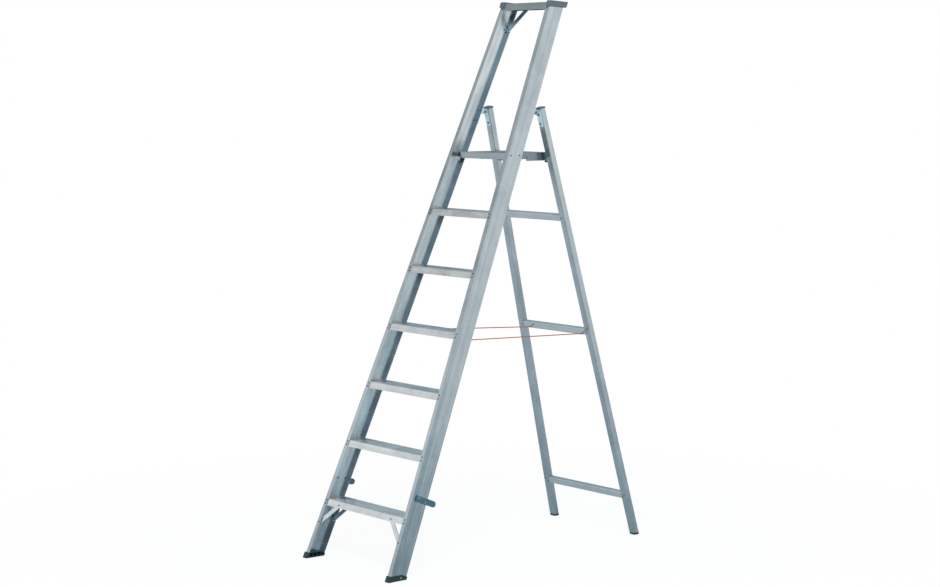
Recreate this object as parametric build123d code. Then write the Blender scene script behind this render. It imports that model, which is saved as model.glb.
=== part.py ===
from build123d import *
import os
from math import atan2, cos, degrees, radians, sin, tan

os.makedirs("parts", exist_ok=True)

# Stance: heights, leans and widths of the open ladder, millimetres and degrees
step_rise = 235.0
first_step_height = 237.0
step_count = 6
deck_height = first_step_height + step_count * step_rise
stile_end_height = 2265.5
stile_lean = 22.7
leg_lean = 14.4
front_floor_width = 575.0
front_narrowing = 0.059
rear_floor_width = 545.0
rear_narrowing = 0.050

# Stiles: channels with the web outside and two flanges turned inwards
stile_depth = 75.0
stile_flange = 22.0
flange_wall = 2.0
web_wall = 2.4
stile_corner = 3.0
panel_depth = 0.5
panel_slope = 2.5
panel_spans = ((11.0, 31.0), (45.0, 65.0))
sole_height = 6.0

# Treads and hand bar
step_front_height = 26.0
step_rear_height = 30.0
step_wall = 2.0
step_plate = 3.0
step_end_gap = 0.5
nosing = 1.5
groove_width = 4.0
groove_depth = 0.8
step_grooves = 8
step_groove_pitch = 8.5
bar_height = 29.5

# Support legs and their crossbars
leg_width = 32.0
leg_depth = 26.0
leg_wall = 1.8
leg_corner = 2.5
leg_end_height = 1825.0
crossbar_heights = {"upper": 1376.0, "middle": 891.0, "lower": 175.0}
crossbar_tall = 28.0
crossbar_deep = 22.0
crossbar_wall = 1.6
crossbar_corner = 3.0
crossbar_fit = 0.2

# Fold hinges: the pin stands off the stile's back and the leg's front
hinge_height = 1812.0
hinge_off_stile = 18.0
hinge_off_leg = 14.0
hinge_sheet = 2.5
hinge_play = 0.4
hinge_inward = 18.7
hinge_pin_radius = 4.0
hinge_pin_head = (6.5, 2.0)
stile_leaf_width = 17.0
leg_leaf_width = 22.0
stile_leaf_span = (-61.0, 13.0)
leg_leaf_span = (-63.5, 7.5)
stile_leaf_rivets = -9.0
stile_leaf_rises = (-2.0, -47.5)
leg_leaf_bolts = -5.7
leg_leaf_rises = (-12.4, -50.6)
pin_play = 0.05
pin_slack = 0.3
stile_lug_radius = 10.0
stile_lug_foot = -18.0
leg_lug_radius = 11.0
leg_lug_foot = -20.0

# Platform: a tray that tilts on two pins and rests on two sleeves
deck_width = 292.0
deck_depth = 241.0
deck_wall = 2.0
deck_plate = 3.0
deck_side_height = 33.5
deck_front_height = 26.0
deck_shallow = 115.5
deck_setback = 19.0
deck_corner = 5.0
deck_grooves = 20
deck_groove_pitch = 11.0
deck_rivets_behind_front = 116.0
deck_rivets_before_back = 22.0
deck_rivets_up = 13.0
tilt_below_deck = 11.5
tilt_depth = 33.7
tilt_pin_radius = 5.0
tilt_pin_head = (7.5, 2.5)
tilt_pin_setback = 1.0
bush_radius = 9.0
bush_spigot = (7.0, 5.0)
bush_gap = 0.5
bracket_sheet = 4.0
bracket_plate = (62.0, 36.0)
bracket_rivet_depths = (17.2, 58.8)
bracket_rivets_up = 3.5
sleeve_radius = 4.0
sleeve_gap = 0.5
sleeve_play = 0.2
sleeve_inner_x = 138.0
sleeve_bolt = 2.0
sleeve_bolt_head = (5.0, 2.5)
nut = (4.0, 3.5)

# Plastic ends
cap_top = 6.5
cap_skirt = 17.0
cap_fall = 6.0
cap_toe = 5.0
cap_brow = 6.0
cap_back = 10.0
cap_side = 5.0
cap_reach = 20.0
cap_round = 3.0
cap_room = 0.1
shoe_wall = 3.0
shoe_front = 6.0
shoe_height = 22.0
shoe_cells = 4
shoe_cell_width = 13.5
shoe_cell_pitch = 17.0
shoe_cell_depth = 17.0
shoe_cell_heights = (5.0, 19.0)
shoe_rivet_depth = 46.0
shoe_rivet_height = 11.0
plug_height = 9.0
plug_width = 34.0
plug_depth = 29.0
plug_corner = 6.0
plug_round = 5.0
plug_spigot = 24.0
leg_cap_lip = 2.0
leg_cap_height = 7.0
leg_cap_bevel = 3.0
leg_cap_spigot = 18.0
spigot_play = 0.2
spigot_corner = 1.5

# Corner straps: the stile end and the far end of each, as inset from the stile and height
strap_widths = {"low_brace_front": 19.0, "low_brace_rear": 19.0, "top_brace": 22.0}
strap_sheet = 3.0
strap_pad = 8.0
strap_ends = {
    "low_brace_front": ((14.0, 144.0), (101.0, 222.0)),
    "low_brace_rear": ((14.0, 141.0), (95.0, 219.0)),
    "top_brace": ((14.5, 2153.0), (92.0, 2246.0)),
}

# Guide tabs
tab_length = 105.0
tab_width = 25.0
tab_sheet = 5.0
tab_corner = 2.0
tab_round = 1.0
tab_front = 12.5
tab_height = 318.0
tab_turns = {"left": 7.3, "right": 0.0}
tab_rivets = {"left": ((12.5, 5.0), (49.5, 8.0)), "right": ((12.5, 5.0), (49.5, -5.0))}

# Fasteners
rivet_head = (3.4, 1.3)
rivet_shank = 2.0
rivet_tail = (2.9, 1.5)
rivet_bore = (1.2, 2.2)
bolt_head = (4.5, 3.0)
hole_play = 0.05
drill_past = 4.0
rivet_pocket = 2.5
rivet_inset = 14.0
front_rivet_drops = (6.0, 19.0)
back_rivet_drops = (10.0, 21.0)
bar_rivet_drop = 24.5
crossbar_rivets = {"upper": ((23.0, 0.0),), "middle": ((23.0, 0.0),), "lower": ((12.0, 6.0), (24.0, -6.0))}

# Safety cords: tight between the stiles' back flanges and the middle crossbar
cord_radius = 2.0
cord_hole_radius = 3.2
cord_stile_height = 908.5
cord_stile_inset = 10.5
cord_below_middle = 9.0
cord_bar_x = {"left": -154.0, "right": 172.0}
cord_bend = 16.0
cord_tail = 6.0
knot_radius = 3.6
knot_gap = 0.4

# Directions of the left stile and the left leg: inwards, back and up along the piece
lean = radians(stile_lean)
tilt = radians(leg_lean)
stile_up = Vector(front_narrowing, tan(lean), 1).normalized()
stile_back = Vector(0, cos(lean), -sin(lean))
stile_in = stile_back.cross(stile_up)
leg_up = Vector(rear_narrowing, -tan(tilt), 1).normalized()
leg_back = Vector(0, cos(tilt), sin(tilt))
leg_in = leg_back.cross(leg_up)
sideways = Vector(1, 0, 0)

# The footprint is centred on the origin
hinge_depth = stile_depth + hinge_off_stile
toe_to_hinge = hinge_height * tan(lean) + hinge_depth / cos(lean)
hinge_to_leg = hinge_height * tan(tilt) + hinge_off_leg / cos(tilt)
plug_middle = leg_depth / 2 / cos(tilt) - plug_height / 2 * tan(tilt)
footprint = shoe_front / cos(lean) + toe_to_hinge + hinge_to_leg + plug_middle + plug_depth / 2
stile_foot_y = shoe_front / cos(lean) - footprint / 2
leg_foot_y = stile_foot_y + toe_to_hinge + hinge_to_leg

low = (Align.CENTER, Align.CENTER, Align.MIN)


def front_half(z, back=0.0):
    """Half the outer width of the climbing side at a height and depth."""
    return front_floor_width / 2 - front_narrowing * (z + back * sin(lean))


def rear_half(z, back=0.0):
    """Half the outer width of the support side at a height and depth."""
    return rear_floor_width / 2 - rear_narrowing * (z - back * sin(tilt))


def front_y(z, back=0.0):
    """Where the plane this far behind the stiles' front lies at a height."""
    return stile_foot_y + z * tan(lean) + back / cos(lean)


def leg_y(z, back=0.0):
    """Where the plane this far behind the legs' front lies at a height."""
    return leg_foot_y - z * tan(tilt) + back / cos(tilt)


def stile_point(inward, back, z):
    """A point of the left stile at a height."""
    return Vector(inward - front_half(z, back), front_y(z, back), z)


def leg_point(inward, back, z):
    """A point of the left leg at a height."""
    return Vector(inward - rear_half(z, back), leg_y(z, back), z)


def along_stile(z, back=0.0):
    """Distance up the stile from its foot of a point at a height."""
    return (z + back * sin(lean)) / stile_up.Z


stile_frame = Plane((-front_floor_width / 2, stile_foot_y, 0), x_dir=stile_in, z_dir=stile_up)
leg_frame = Plane((-rear_floor_width / 2, leg_foot_y, 0), x_dir=leg_in, z_dir=leg_up)
front_face = Plane((0, stile_foot_y, 0), x_dir=sideways, z_dir=-stile_back)
back_face = Plane(
    Vector(0, stile_foot_y, 0) + stile_back * stile_depth, x_dir=sideways, z_dir=-stile_back
)
hinge_y = front_y(hinge_height, hinge_depth)
tilt_z = deck_height - tilt_below_deck
tilt_y = front_y(tilt_z, tilt_depth)
deck_front_y = front_y(deck_height, deck_setback)
deck_bottom = deck_height - deck_side_height
hinge_x = hinge_inward - front_half(hinge_height, stile_depth)


def step_height(number):
    """Height of a tread's top, counted from the floor."""
    return first_step_height + (number - 1) * step_rise


def slab(low_z, high_z):
    """Everything between two heights."""
    return Pos(0, 0, low_z) * Box(2000, 3000, high_z - low_z, align=low)


def crossbar_frame(z):
    """Middle of a crossbar: local x runs back, y up the legs and z to the right."""
    return Plane((0, leg_y(z, leg_depth / 2), z), x_dir=leg_back, z_dir=sideways)


def rod(start, end, radius):
    """A round bar between two points."""
    way = Vector(end) - Vector(start)
    return Plane(start, z_dir=way) * Cylinder(radius, way.length, align=low)


def rivet(seat, grip, head=rivet_head):
    """A hollow rivet whose head sits on the seat plane and whose tail is below the grip."""
    dome = fillet(Cylinder(*head, align=low).edges().group_by(Axis.Z)[-1], 0.45 * head[1])
    shank = Pos(0, 0, -grip) * Cylinder(rivet_shank, grip, align=low)
    tail = Pos(0, 0, -grip - rivet_tail[1]) * Cylinder(*rivet_tail, align=low)
    bore = Pos(0, 0, head[1] - rivet_bore[1]) * Cylinder(*rivet_bore, align=low)
    return seat * (dome + shank + tail - bore)


def holes(seats, depth):
    """Clearance holes of rivets, from just above their seats down to a depth."""
    drill = Pos(0, 0, -depth) * Cylinder(rivet_shank + hole_play, depth + 1, align=low)
    return [seat * drill for seat in seats]


def on_side(left, side):
    """A left piece, or the right piece that mirrors it."""
    return left if side == "left" else mirror(left, about=Plane.YZ)


def both(left):
    """A left piece and its mirrored right piece."""
    return {side: on_side(left, side) for side in ("left", "right")}


def save(name, shape):
    """Write one node."""
    shape.label = name
    export_step(shape, f"parts/{name}.step")


def save_pair(name, left):
    """Write a left piece and its mirrored right piece as two nodes."""
    for side, shape in both(left).items():
        save(f"{name}_{side}", shape)


def save_group(name, lefts):
    """Write like fasteners of both sides as one node of separate solids."""
    solids = []
    for left in lefts:
        solids += [shape.solid() for shape in both(left).values()]
    save(name, Compound(children=solids))


def web_seat(out, back, along):
    """A plane facing out of the left stile's web, this far outside it."""
    return Plane(stile_frame.from_local_coords(Vector(-out, back, along)), z_dir=-stile_in)


# Where the left side's fasteners sit: each plane faces out of the surface under a head
front_seats = [
    Plane(stile_point(rivet_inset, 0, step_height(number) - drop), z_dir=-stile_back)
    for number in range(1, step_count + 1)
    for drop in front_rivet_drops
]
back_seats = [
    Plane(stile_point(rivet_inset, stile_depth, step_height(number) - drop), z_dir=stile_back)
    for number in range(1, step_count + 1)
    for drop in back_rivet_drops
]
bar_rivet_z = stile_end_height - bar_rivet_drop
front_seats.append(Plane(stile_point(rivet_inset, 0, bar_rivet_z), z_dir=-stile_back))
back_seats.append(Plane(stile_point(rivet_inset, stile_depth, bar_rivet_z), z_dir=stile_back))
bracket_seats = [
    web_seat(-panel_depth, depth, along_stile(tilt_z + bracket_rivets_up, depth))
    for depth in bracket_rivet_depths
]
shoe_seats = [web_seat(shoe_wall, shoe_rivet_depth, along_stile(shoe_rivet_height, shoe_rivet_depth))]
hinge_stile_seats = [
    Plane((hinge_x, hinge_y, hinge_height), x_dir=stile_back, z_dir=sideways)
    * Pos(hinge_sheet - hinge_off_stile, rise, stile_leaf_rivets)
    * Rot(0, 90, 0)
    for rise in stile_leaf_rises
]
hinge_leg_seats = [
    Plane((hinge_x, hinge_y, hinge_height), x_dir=leg_back, z_dir=sideways)
    * Pos(hinge_off_leg - hinge_sheet, rise, leg_leaf_bolts)
    * Rot(0, -90, 0)
    for rise in leg_leaf_rises
]


def strap_points(name):
    """Both ends of a left strap on its face of the stile, as sideways and up coordinates."""
    back = 0.0 if name == "low_brace_front" else stile_depth
    return [
        (inset - front_half(z, back), (z + back * sin(lean)) / cos(lean))
        for inset, z in strap_ends[name]
    ]


def strap_face(name):
    """The flange's outer face that a strap is riveted through, and which way is out of it."""
    return (front_face, 1) if name == "low_brace_front" else (back_face, -1)


def strap_seats(name):
    """Rivet seats outside the flange at a strap's stile end and outside the apron at its far end."""
    face, out = strap_face(name)
    seats = []
    for (x, up), sunk in zip(strap_points(name), (0.0, flange_wall)):
        seat = face * Pos(x, up, -out * sunk)
        seats.append(seat if out > 0 else seat * Rot(180, 0, 0))
    return seats


def make_strap(name):
    """A flat strap inside the aprons, with a pad at its end that meets the stile's flange."""
    face, out = strap_face(name)
    (x1, up1), (x2, up2) = strap_points(name)
    middle = Pos((x1 + x2) / 2, (up1 + up2) / 2, 0)
    turn = Rot(0, 0, degrees(atan2(up2 - up1, x2 - x1)))
    flat = middle * turn * SlotCenterToCenter(Vector(x2 - x1, up2 - up1).length, strap_widths[name])
    strap = extrude(flat, -out * strap_sheet)
    strap += extrude(Pos(x1, up1, 0) * Circle(strap_pad), out * step_wall)
    strap = face * Pos(0, 0, -out * (flange_wall + step_wall)) * strap
    for hole in holes(strap_seats(name), flange_wall + step_wall + strap_sheet + drill_past):
        strap -= hole
    return strap


def make_stile():
    """A channel with two shallow panels pressed into its outer face."""
    outline = [(stile_flange, 0), (0, 0)]
    for start, end in panel_spans:
        outline += [(0, start), (panel_depth, start + panel_slope)]
        outline += [(panel_depth, end - panel_slope), (0, end)]
    outline += [(0, stile_depth), (stile_flange, stile_depth)]
    outline += [(stile_flange, stile_depth - flange_wall), (web_wall, stile_depth - flange_wall)]
    outline += [(web_wall, flange_wall), (stile_flange, flange_wall)]
    section = make_face(Polyline(*outline, close=True))
    corners = section.vertices().group_by(Axis.X)[0].sort_by(Axis.Y)
    section = fillet([corners[0], corners[-1]], stile_corner)
    length = stile_end_height / stile_up.Z + 2 * stile_depth
    stile = extrude(stile_frame * Pos(0, 0, -stile_depth) * section, length, dir=stile_up)
    stile &= slab(sole_height, stile_end_height)
    cuts = holes(front_seats + back_seats + bracket_seats, drill_past)
    cuts += holes(shoe_seats, shoe_wall + drill_past) + holes(hinge_stile_seats, hinge_sheet + drill_past)
    for name in strap_ends:
        cuts += holes(strap_seats(name)[:1], drill_past)
    for cut in cuts:
        stile -= cut
    return stile


def stile_with_side_holes(stile, side):
    """A stile with the holes of its own guide tab and cord."""
    for cut in holes(tab_seats(side), tab_sheet + drill_past):
        stile -= on_side(cut, side)
    return stile - cord_cuts(side)[0]


def tread_section(top, front_height, rear_height, grooves):
    """Channel section across the stiles' depth, with the aprons parallel to the flanges."""
    front, rear = flange_wall, stile_depth - flange_wall
    under = top - step_plate
    outline = [
        (front_y(top, front) + nosing, top),
        (front_y(top, rear), top),
        (front_y(top - rear_height, rear), top - rear_height),
        (front_y(top - rear_height, rear - step_wall), top - rear_height),
        (front_y(under, rear - step_wall), under),
        (front_y(under, front + step_wall), under),
        (front_y(top - front_height, front + step_wall), top - front_height),
        (front_y(top - front_height, front), top - front_height),
        (front_y(top - nosing, front), top - nosing),
    ]
    section = make_face(Polyline(*outline, close=True))
    middle = (front_y(top, front) + front_y(top, rear)) / 2
    for place in GridLocations(step_groove_pitch, 1, grooves, 1) if grooves else []:
        section -= Pos(middle, top) * place * Rectangle(groove_width, 2 * groove_depth)
    return section


def make_tread(top, front_height, rear_height, grooves):
    """A tread or the hand bar, cut to the gap between the stiles' webs."""
    half = front_half(top, stile_depth) - web_wall - step_end_gap
    section = tread_section(top, front_height, rear_height, grooves)
    tread = Plane.YZ * Pos(0, 0, -half) * extrude(section, 2 * half)
    seats = [s for s in front_seats + back_seats if top - rear_height < s.origin.Z < top]
    for cut in holes(seats, flange_wall + drill_past):
        tread -= cut
        tread -= mirror(cut, about=Plane.YZ)
    return tread


def make_step(number):
    """A tread, with the straps' rivet holes in the first."""
    top = step_height(number)
    step = make_tread(top, step_front_height, step_rear_height, step_grooves)
    if number == 1:
        for name in ("low_brace_front", "low_brace_rear"):
            for cut in holes(strap_seats(name)[1:], drill_past):
                step -= cut
                step -= mirror(cut, about=Plane.YZ)
    return step


def make_top_bar():
    """The hand bar: a plain channel level with the stile ends."""
    bar = make_tread(stile_end_height, bar_height, bar_height, 0)
    for cut in holes(strap_seats("top_brace")[1:], drill_past):
        bar -= cut
        bar -= mirror(cut, about=Plane.YZ)
    return bar


def make_top_cap():
    """A hood over a stile's end: top, front, back and outer walls, open to the hand bar."""
    bottom, roof = stile_end_height - cap_skirt, stile_end_height + cap_top
    outer, inner = -front_half(bottom) - cap_side, cap_reach - front_half(stile_end_height)
    side_view = Polyline(
        (front_y(bottom) - cap_toe, bottom),
        (front_y(roof) - cap_brow, roof),
        (front_y(roof, stile_depth) + cap_back, roof - cap_fall),
        (front_y(bottom, stile_depth) + cap_back, bottom - cap_fall),
        close=True,
    )
    hood = Plane.YZ * Pos(0, 0, outer) * extrude(make_face(side_view), inner - outer)
    hood = fillet([edge for edge in hood.edges() if edge.center().Z > bottom + cap_room], cap_round)
    below, back = bottom - cap_skirt, stile_depth + rivet_head[1] + sleeve_play
    hollow = Polyline(
        (front_y(below, -cap_room), below),
        (front_y(stile_end_height, -cap_room), stile_end_height),
        (front_y(stile_end_height, back), stile_end_height),
        (front_y(below, back), below),
        close=True,
    )
    wall = -front_half(below) - cap_room
    return hood - Plane.YZ * Pos(0, 0, wall) * extrude(make_face(hollow), 2 * cap_reach)


def make_shoe(stile):
    """A boot round and inside a stile's foot, with a row of open cells on its inner side."""
    width, depth = stile_flange + 2 * shoe_wall, shoe_front + stile_depth + shoe_wall
    block = Box(width, depth, 4 * shoe_height)
    block = fillet(block.edges().filter_by(Axis.Z), stile_corner)
    middle = (stile_depth + shoe_wall - shoe_front) / 2
    shoe = stile_frame * Pos(stile_flange / 2, middle, 0) * block & slab(0, shoe_height)
    inner_side = stile_frame * Pos(stile_flange + shoe_wall, stile_depth / 2, 0)
    for place in GridLocations(1, shoe_cell_pitch, 1, shoe_cells):
        cell = inner_side * place * Box(2 * shoe_cell_depth, shoe_cell_width, 4 * shoe_height)
        shoe -= cell & slab(*shoe_cell_heights)
    shoe -= stile
    pocket = Cylinder(rivet_tail[0] + 2 * hole_play, rivet_pocket, align=low)
    for cut, seat in zip(holes(shoe_seats, shoe_wall + drill_past), shoe_seats):
        shoe -= cut
        shoe -= seat * Pos(0, 0, -shoe_wall - web_wall - rivet_pocket) * pocket
    return shoe


def tab_frame(side):
    """Where a tab starts on the left stile's web: local x runs back along it and z faces out."""
    turn = radians(tab_turns[side])
    start = stile_frame.origin + stile_up * along_stile(tab_height) + stile_back * tab_front
    return Plane(start, x_dir=stile_back * cos(turn) + stile_up * sin(turn), z_dir=-stile_in)


def tab_seats(side):
    """Rivet seats on a tab of the left stile."""
    return [tab_frame(side) * Pos(along, -rise, tab_sheet) for along, rise in tab_rivets[side]]


def make_guide_tab(side):
    """A tab about square to the left stile, round at the end that stands behind it."""
    straight = tab_length - tab_width / 2
    flat = Pos(straight / 2, 0) * RectangleRounded(straight, tab_width, tab_corner)
    flat += Pos(straight - tab_corner, 0) * Rectangle(2 * tab_corner, tab_width)
    flat += Pos(straight, 0) * Circle(tab_width / 2)
    tab = tab_frame(side) * fillet(extrude(flat, tab_sheet).edges().group_by(Axis.Z)[-1], tab_round)
    for cut in holes(tab_seats(side), tab_sheet + drill_past):
        tab -= cut
    return tab


def hinge_leaf(frame, lug, lug_start, base, base_start, width):
    """A folded leaf: a lug on the pin and the base that it stands on."""
    leaf = Pos(0, 0, lug_start) * extrude(lug, hinge_sheet)
    leaf += Pos(0, 0, base_start) * extrude(base, width)
    return frame * leaf


def make_hinge_stile_bracket():
    """The fixed leaf of a fold hinge, riveted to the stile's back flange."""
    frame = Plane((hinge_x, hinge_y, hinge_height), x_dir=stile_back, z_dir=sideways)
    rear, radius = -hinge_off_stile, stile_lug_radius
    bottom, top = stile_leaf_span
    lug = Polygon((rear, stile_lug_foot), (0, -radius), (0, radius), (rear, top), align=None)
    lug = lug + Circle(radius) - Circle(hinge_pin_radius + pin_play / 2)
    base = Pos(rear + hinge_sheet / 2, (bottom + top) / 2) * Rectangle(hinge_sheet, top - bottom)
    side = -hinge_play / 2
    bracket = hinge_leaf(frame, lug, side - hinge_sheet, base, side - stile_leaf_width, stile_leaf_width)
    for cut in holes(hinge_stile_seats, hinge_sheet + drill_past):
        bracket -= cut
    return bracket


def make_hinge_leg_bracket():
    """The moving leaf of a fold hinge, bolted to the leg's front."""
    frame = Plane((hinge_x, hinge_y, hinge_height), x_dir=leg_back, z_dir=sideways)
    seat, radius = hinge_off_leg, leg_lug_radius
    bottom, top = leg_leaf_span
    lug = Polygon((seat, top), (0, radius), (0, -radius), (seat, leg_lug_foot), align=None)
    lug = lug + Circle(radius) - Circle(hinge_pin_radius + pin_play)
    base = Pos(seat - hinge_sheet / 2, (bottom + top) / 2) * Rectangle(hinge_sheet, top - bottom)
    side = hinge_play / 2
    bracket = hinge_leaf(frame, lug, side, base, side + hinge_sheet - leg_leaf_width, leg_leaf_width)
    for cut in holes(hinge_leg_seats, hinge_sheet + drill_past):
        bracket -= cut
    return bracket


def make_hinge_pin():
    """A pin through both leaves, with a head at each end."""
    reach = hinge_play / 2 + hinge_sheet + pin_slack
    pivot = Pos(hinge_x, hinge_y, hinge_height) * Rot(0, 90, 0)
    pin = Cylinder(hinge_pin_radius, 2 * reach)
    for side in (-1, 1):
        pin += Pos(0, 0, side * (reach + hinge_pin_head[1] / 2)) * Cylinder(*hinge_pin_head)
    return pivot * pin


def make_leg():
    """A tube with openings in its inner wall for the crossbars."""
    outer = RectangleRounded(leg_width, leg_depth, leg_corner)
    inner = RectangleRounded(leg_width - 2 * leg_wall, leg_depth - 2 * leg_wall, leg_corner - leg_wall)
    section = leg_frame * Pos(leg_width / 2, leg_depth / 2, -leg_depth) * (outer - inner)
    leg = extrude(section, leg_end_height / leg_up.Z + leg_depth, dir=leg_up)
    leg &= slab(plug_height, 2 * stile_end_height)
    opening = Box(leg_depth - 2 * leg_wall, crossbar_tall + 2 * crossbar_fit, 4 * leg_wall)
    for z in crossbar_heights.values():
        leg -= crossbar_frame(z) * Pos(0, 0, leg_width - rear_half(z)) * opening
    for cut in holes(crossbar_seats(), drill_past) + holes(hinge_leg_seats, hinge_sheet + drill_past):
        leg -= cut
    y, z = sleeve_axis()
    return leg - rod((bolt_start(z), y, z), (-sleeve_inner_x, y, z), sleeve_bolt + 2 * hole_play)


def crossbar_seats():
    """Rivet seats on the left leg's front, two for the lowest bar and one for the others."""
    seats = []
    for name, z in crossbar_heights.items():
        for inward, rise in crossbar_rivets[name]:
            spot = Vector(-leg_depth / 2, rise, inward - rear_half(z))
            seats.append(Plane(crossbar_frame(z).from_local_coords(spot), z_dir=-leg_back))
    return seats


def make_crossbar(z):
    """A tube that runs into both legs up to their outer walls."""
    half = rear_half(z + crossbar_tall / 2) - leg_wall - crossbar_fit
    hollow = RectangleRounded(
        crossbar_deep - 2 * crossbar_wall,
        crossbar_tall - 2 * crossbar_wall,
        crossbar_corner - crossbar_wall,
    )
    section = RectangleRounded(crossbar_deep, crossbar_tall, crossbar_corner) - hollow
    bar = crossbar_frame(z) * Pos(0, 0, -half) * extrude(section, 2 * half)
    seats = [seat for seat in crossbar_seats() if abs(seat.origin.Z - z) < crossbar_tall]
    for cut in holes(seats, leg_wall + drill_past):
        bar -= cut
        bar -= mirror(cut, about=Plane.YZ)
    if z == crossbar_heights["middle"]:
        for side in cord_bar_x:
            bar -= cord_cuts(side)[1]
    return bar


def make_leg_cap():
    """A plug with a bevelled head on a leg's upper end."""
    end = leg_end_height / leg_up.Z
    outline = RectangleRounded(leg_width + 2 * leg_cap_lip, leg_depth + 2 * leg_cap_lip, leg_cap_bevel)
    head = extrude(outline, leg_cap_height)
    head = chamfer(head.edges().group_by(Axis.Z)[-1], leg_cap_bevel)
    spigot = Pos(0, 0, -leg_cap_spigot) * extrude(leg_inside(), leg_cap_spigot)
    return leg_frame * Pos(leg_width / 2, leg_depth / 2, end) * (head + spigot)


def leg_inside():
    """Section of what fits easily inside a leg."""
    gap = 2 * (leg_wall + spigot_play)
    return RectangleRounded(leg_width - gap, leg_depth - gap, spigot_corner)


def make_foot_plug():
    """A round-edged foot on a leg's lower end."""
    middle = leg_point(leg_width / 2, leg_depth / 2, plug_height / 2)
    pad = extrude(RectangleRounded(plug_width, plug_depth, plug_corner), plug_height)
    pad = fillet(pad.edges().group_by(Axis.Z)[0], plug_round)
    spigot = Pos(leg_width / 2, leg_depth / 2, plug_height / 2) * extrude(leg_inside(), plug_spigot)
    return Pos(middle.X, middle.Y, 0) * pad + (leg_frame * spigot & slab(plug_height / 2, 2 * plug_spigot))


def sleeve_axis():
    """Where the sleeves' bolts pass through the legs."""
    z = deck_bottom - sleeve_gap - sleeve_radius
    return leg_y(z, leg_depth / 2), z


def make_deck():
    """A tray with deep sides, grooved across its top."""
    middle_y = deck_front_y + deck_depth / 2
    tray = Pos(0, middle_y, deck_bottom) * Box(deck_width, deck_depth, deck_side_height, align=low)
    tray = fillet(tray.edges().filter_by(Axis.Z), deck_corner)
    inside = Box(deck_width - 2 * deck_wall, deck_depth - 2 * deck_wall, deck_side_height, align=low)
    tray -= Pos(0, middle_y, deck_bottom - deck_plate) * inside
    relief = deck_side_height - deck_front_height
    tray -= Pos(0, middle_y, deck_bottom) * Box(deck_width - 2 * deck_corner, 2 * deck_depth, 2 * relief)
    tray -= Pos(0, deck_front_y, deck_bottom) * Box(2 * deck_width, 2 * deck_shallow, 2 * relief)
    groove = Box(deck_width - 4 * deck_corner, groove_width, 2 * groove_depth)
    for place in GridLocations(1, deck_groove_pitch, 1, deck_grooves):
        tray -= Pos(0, middle_y, deck_height) * place * groove
    for side in (-1, 1):
        wall = Vector(side * deck_width / 2, tilt_y, tilt_z)
        tray -= rod(wall - sideways * deck_corner, wall + sideways * deck_corner, bush_spigot[0] + hole_play)
    for cut in holes(deck_seats(), drill_past):
        tray -= cut
        tray -= mirror(cut, about=Plane.YZ)
    return tray


def deck_seats():
    """Rivet seats on the deck's left side."""
    back_y = deck_front_y + deck_depth
    places = (deck_front_y + deck_rivets_behind_front, back_y - deck_rivets_before_back)
    return [Plane((-deck_width / 2, y, deck_bottom + deck_rivets_up), z_dir=-sideways) for y in places]


def make_bush():
    """A flanged bush on a tilt pin, with its spigot in the deck's side."""
    outer, side = bracket_face() + bush_gap, -deck_width / 2
    inner = side + bush_spigot[1]
    bush = rod((outer, tilt_y, tilt_z), (side, tilt_y, tilt_z), bush_radius)
    bush += rod((side, tilt_y, tilt_z), (inner, tilt_y, tilt_z), bush_spigot[0])
    return bush - rod((2 * outer, tilt_y, tilt_z), (0, tilt_y, tilt_z), tilt_pin_radius + pin_play)


def bracket_face():
    """Inner face of the left platform bracket at the top of the bush."""
    return web_wall + bracket_sheet - front_half(tilt_z + bush_radius, tilt_depth)


def make_platform_bracket():
    """A plate on the inside of a stile's web, with a hole for the tilt pin."""
    plate = Box(bracket_sheet, *bracket_plate)
    place = Pos(web_wall + bracket_sheet / 2, tilt_depth, along_stile(tilt_z, tilt_depth))
    bracket = stile_frame * place * plate
    bracket -= rod((2 * bracket_face(), tilt_y, tilt_z), (0, tilt_y, tilt_z), tilt_pin_radius + hole_play)
    for cut in holes(bracket_seats, web_wall + bracket_sheet + drill_past):
        bracket -= cut
    return bracket


def make_tilt_pin():
    """A pin fast in its bracket, with a head inside the deck."""
    radius, thickness = tilt_pin_head
    outer = bracket_face() - bracket_sheet + tilt_pin_setback
    inner = bush_spigot[1] + bush_gap - deck_width / 2
    pin = rod((outer, tilt_y, tilt_z), (inner, tilt_y, tilt_z), tilt_pin_radius)
    return pin + rod((inner, tilt_y, tilt_z), (inner + thickness, tilt_y, tilt_z), radius)


def make_sleeve():
    """A plastic sleeve clamped between the leg and its nut, under the deck's side."""
    y, z = sleeve_axis()
    outer = leg_width + sleeve_play - rear_half(z + sleeve_radius, leg_depth / 2)
    sleeve = rod((outer, y, z), (-sleeve_inner_x, y, z), sleeve_radius)
    return sleeve - rod((2 * outer, y, z), (0, y, z), sleeve_bolt + pin_play)


def bolt_start(z):
    """Where the head of a sleeve's bolt ends, inside the left leg and clear of its inner wall."""
    return leg_width - leg_wall - sleeve_play - rear_half(z - sleeve_bolt_head[0], leg_depth / 2)


def make_sleeve_bolt():
    """A bolt from inside the leg, through its inner wall, that carries a sleeve."""
    y, z = sleeve_axis()
    radius, thickness = sleeve_bolt_head
    outer, inner = bolt_start(z), -sleeve_inner_x
    bolt = rod((outer - thickness, y, z), (outer, y, z), radius)
    bolt += rod((outer, y, z), (inner, y, z), sleeve_bolt)
    return bolt + rod((inner, y, z), (inner + nut[1], y, z), nut[0])


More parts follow.
